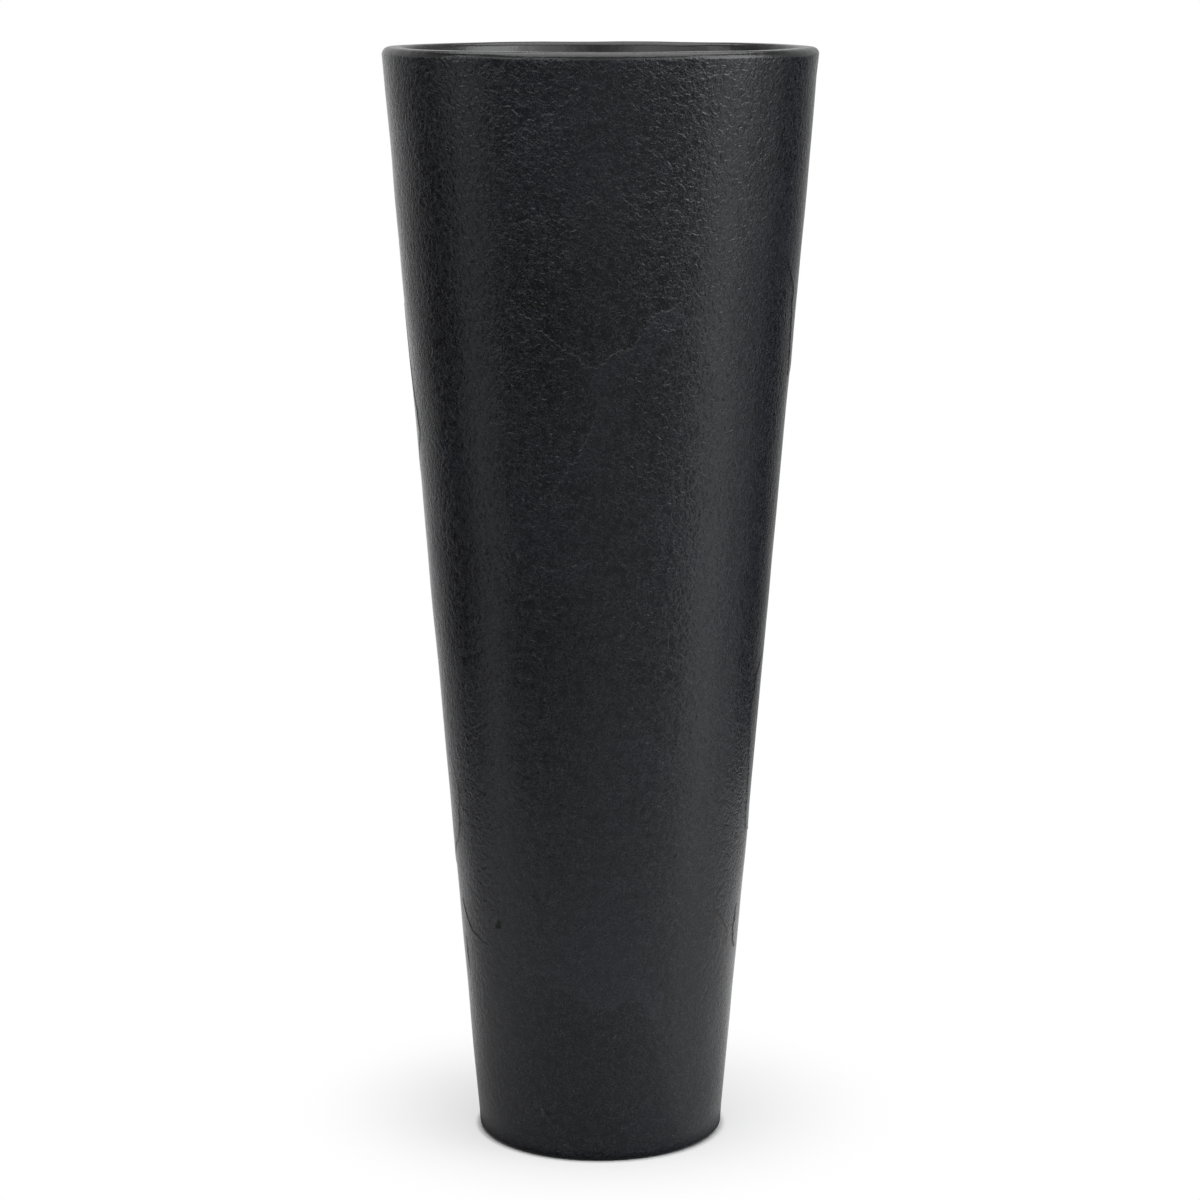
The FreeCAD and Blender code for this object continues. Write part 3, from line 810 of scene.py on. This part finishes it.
def softbox(name, side_deg, distance, centre_up, width, height, brightness, colour=(1, 1, 1), aim_up=0.5):
    """Soft lamp beside the planter; its power gives its face the stated brightness, where 1 is white."""
    data = bpy.data.lights.new(name, "AREA")
    data.shape = "RECTANGLE"
    data.size = width
    data.size_y = height
    data.energy = brightness * math.pi * width * height
    data.color = colour
    lamp = bpy.data.objects.new(name, data)
    side = math.radians(side_deg)
    lamp.location = (distance * math.sin(side), -distance * math.cos(side), centre_up)
    aim = Vector((0, 0, aim_up)) - lamp.location
    lamp.rotation_euler = aim.to_track_quat("-Z", "Y").to_euler()
    lamp.visible_camera = False
    bpy.context.scene.collection.objects.link(lamp)


def studio_world():
    """White to the camera and dim to the planter. Mirrored in it, a pale ring of wall and curtain stands
    above the floor all round, darkest straight ahead."""
    world = bpy.data.worlds.new("studio")
    bpy.context.scene.world = world
    f = Nodes(world, "Generated")
    lap = f.lap()
    height = f.maths("ABSOLUTE", f.axes()["Z"])
    room = f.mix(f.spread(height, HORIZON_FROM, HORIZON_FULL), f.curve(lap, FAR_SHEET), f.curve(lap, ROOM_RING))
    room = f.mix(f.spread(height, CEILING_FROM, CEILING_FULL), room, ROOM_LEVEL)
    level = f.mix(f.mirrored(), ROOM_LEVEL, room)
    level = f.mix(f.seen_directly(), level, 1.0)
    sky = f.add("Background", 0, {"Color": WHITE, "Strength": level})
    f.add("OutputWorld", None, {"Surface": sky})


def studio_floor():
    """Pale floor that keeps the planter's soft shadow and turns to plain white away from it. Reflected in
    the planter it is a glowing sheet of painted light: brightest on the right and behind, dim on the left, with
    a painted shadow beside the foot."""
    half = FLOOR_SIZE / 2
    corners = [(-half, -half, 0), (half, -half, 0), (half, half, 0), (-half, half, 0)]
    mesh = bpy.data.meshes.new("floor")
    mesh.from_pydata(corners, [], [(0, 1, 2, 3)])
    floor = bpy.data.objects.new("floor", mesh)
    bpy.context.scene.collection.objects.link(floor)
    f = material_nodes("floor_paint")
    distance = f.add("VectorMath", "Value", {0: f.place}, operation="LENGTH")
    lap = f.lap()
    sheet = f.mix(f.spread(distance, NEAR_FLOOR, FAR_FLOOR), f.curve(lap, NEAR_SHEET), f.curve(lap, FAR_SHEET))
    # Painted shadow: the mirrored glow dims beside the foot
    sheet = f.times(sheet, f.spread(distance, FOOT_RADIUS, CONTACT_FAR, to_low=CONTACT_SHARE))
    sheet = f.times(sheet, f.spread(distance, FOOT_RADIUS, SHADOW_FAR, to_low=SHADOW_SHARE))
    paint = f.add("BsdfDiffuse", 0, {"Color": f.blend(f.noise(2.0), FLOOR_DARKEST, FLOOR_LIGHTEST)})
    white = f.add("Emission", 0, {"Color": WHITE, "Strength": 1.0})
    reflected = f.add("Emission", 0, {"Color": WHITE, "Strength": sheet})
    behind = f.add("VectorMath", "Vector", {0: f.place, 1: (0, -SHADOW_SHIFT, 0)}, operation="ADD")
    shadow_distance = f.add("VectorMath", "Value", {0: behind}, operation="LENGTH")
    share = f.spread(shadow_distance, FLOOR_WHITE_FROM, FLOOR_WHITE_FULL, to_low=FLOOR_GLOW)
    share = f.times(share, f.seen_directly())
    share = f.times(share, f.spread(distance, FOOT_RADIUS, FOOT_RADIUS + CONTACT_WIDTH))
    surface = f.add("MixShader", 0, {0: share, 1: paint, 2: white})
    surface = f.add("MixShader", 0, {0: f.mirrored(), 1: surface, 2: reflected})
    f.add("OutputMaterial", None, {"Surface": surface})
    mesh.materials.append(f.owner)


# ---------------------------------------------------------------- the planter

add_camera()
bpy.context.scene.view_settings.view_transform = "Standard"

slate = slate_finish()
slate_skin(slate)

front_leaves = [Leaf(CLEFT_LOWER_LEFT, 0.18 * MM, 0.35, seed=101, wear=0.2),
                Leaf(CLEFT_LOWER_RIGHT, 0.32 * MM, 0.9, seed=103, wear=0.26)]
joined_patches("cleft_leaves_front", [cleft_patch(front_leaves, spacing=0.75, ragged=(0.8, 0.7))], slate)
low_leaf = Leaf(CLEFT_NEAR_FOOT, 0.36 * MM, 0.5, seed=105, wear=0.16)
joined_patches("cleft_leaf_near_foot", [cleft_patch([low_leaf], spacing=0.8, ragged=(1.0, 0.9))], slate)

flakes = [
    cleft_patch([Leaf(FLAKE_LEFT, 0.30 * MM, 0.2, 111, CRACKED)], spacing=0.8, ragged=(0.3, 0.5)),
    cleft_patch([Leaf(FLAKE_LEFT_LOW, 0.30 * MM, 0.2, 113, CRACKED)], spacing=0.8, ragged=(0.2, 0.5)),
    cleft_patch([Leaf(FLAKE_RIGHT, 0.30 * MM, 0.6, 115, CRACKED, rust=0.6),
                 Leaf(FLAKE_RIGHT_EDGE, 0.34 * MM, 0.5, 117, CRACKED, rust=0.8)],
                spacing=0.8, ragged=(0.4, 0.6)),
]
chip_at_foot = rough_outline(-32, 13, 6, 6, seed=202, corners=7, jitter=0.5, least=0.7)
# Chips: the first two get painted light on one facet and painted shade on the other
chips = [Leaf(CHIP_LEFT, 0.40 * MM, 0.3, seed=121, facet=150.0),
         Leaf(CHIP_LOW, 0.36 * MM, 0.3, seed=123, facet=215.0),
         Leaf(chip_at_foot, 0.30 * MM, 0.4, seed=125, wear=0.5)]
chips = [cleft_patch([chip], spacing=0.6, margin=1.5, ragged=(0.2, 0.2)) for chip in chips]
joined_patches("slate_chips", flakes + chips, slate)

broad = []
for index, (across, up, width, height, heading, lift, tone) in enumerate(BROAD_LAYERS):
    outline = rough_outline(across, up, width, height, 400 + index, 13, 0.6, 0.72, heading_deg=heading)
    broad.append(cleft_patch([Leaf(outline, lift * MM, tone, seed=500 + 2 * index)], spacing=1.5))
joined_patches("cleft_leaves_right", [broad[index] for index in BROAD_RIGHT], slate)
joined_patches("cleft_leaves_left", [broad[index] for index in BROAD_LEFT], slate)

rolled_lip(lip_finish())

laminate = laminate_finish()
cleat_paint = moulded_finish("cleat_paint", (0.016, 0.016, 0.017), (0.030, 0.030, 0.030), smoothest=0.45,
                             roughest=0.62, grain_scale=420.0, grain_depth=0.2 * MM)
rubber = moulded_finish("black_rubber", (0.011, 0.011, 0.011), (0.020, 0.020, 0.020), smoothest=0.55,
                        roughest=0.72, grain_scale=700.0, grain_depth=0.06 * MM)
fitting = moulded_finish("fitting_plastic", (0.020, 0.020, 0.021), (0.032, 0.032, 0.033), smoothest=0.34,
                         roughest=0.48, grain_scale=600.0, grain_depth=0.05 * MM)
board = moulded_finish("shelf_plastic", (0.030, 0.030, 0.031), (0.048, 0.048, 0.049), smoothest=0.45,
                       roughest=0.62, grain_scale=380.0, grain_depth=0.16 * MM)
foam = moulded_finish("core_foam", (0.42, 0.38, 0.27), (0.60, 0.55, 0.42), smoothest=0.80, roughest=0.92,
                      grain_scale=300.0, grain_depth=0.5 * MM)
finishes = {"laminate_shell": laminate, "foot_ring": laminate, "floor_pan": laminate, "drain_bushing": fitting,
            "drain_nut": fitting, "drain_gasket": rubber, "drain_plug": rubber, "shelf_board": board,
            "rim_core": foam}
for index in range(1, 5):
    finishes[f"shelf_cleat_{index}"] = cleat_paint
    finishes[f"foot_pad_{index}"] = rubber
for node, material in finishes.items():
    dress(node, material)

studio_world()
studio_floor()
softbox("right_softbox", side_deg=74, distance=1.9, centre_up=1.75, width=1.3, height=1.5, brightness=3.0,
        colour=(0.97, 0.985, 1.0), aim_up=0.9)
softbox("left_softbox", side_deg=-80, distance=2.1, centre_up=1.75, width=0.5, height=1.5, brightness=1.6,
        colour=(1.0, 0.99, 0.97), aim_up=0.9)
softbox("top_softbox", side_deg=0, distance=0.01, centre_up=2.9, width=3.0, height=3.0, brightness=2.4)
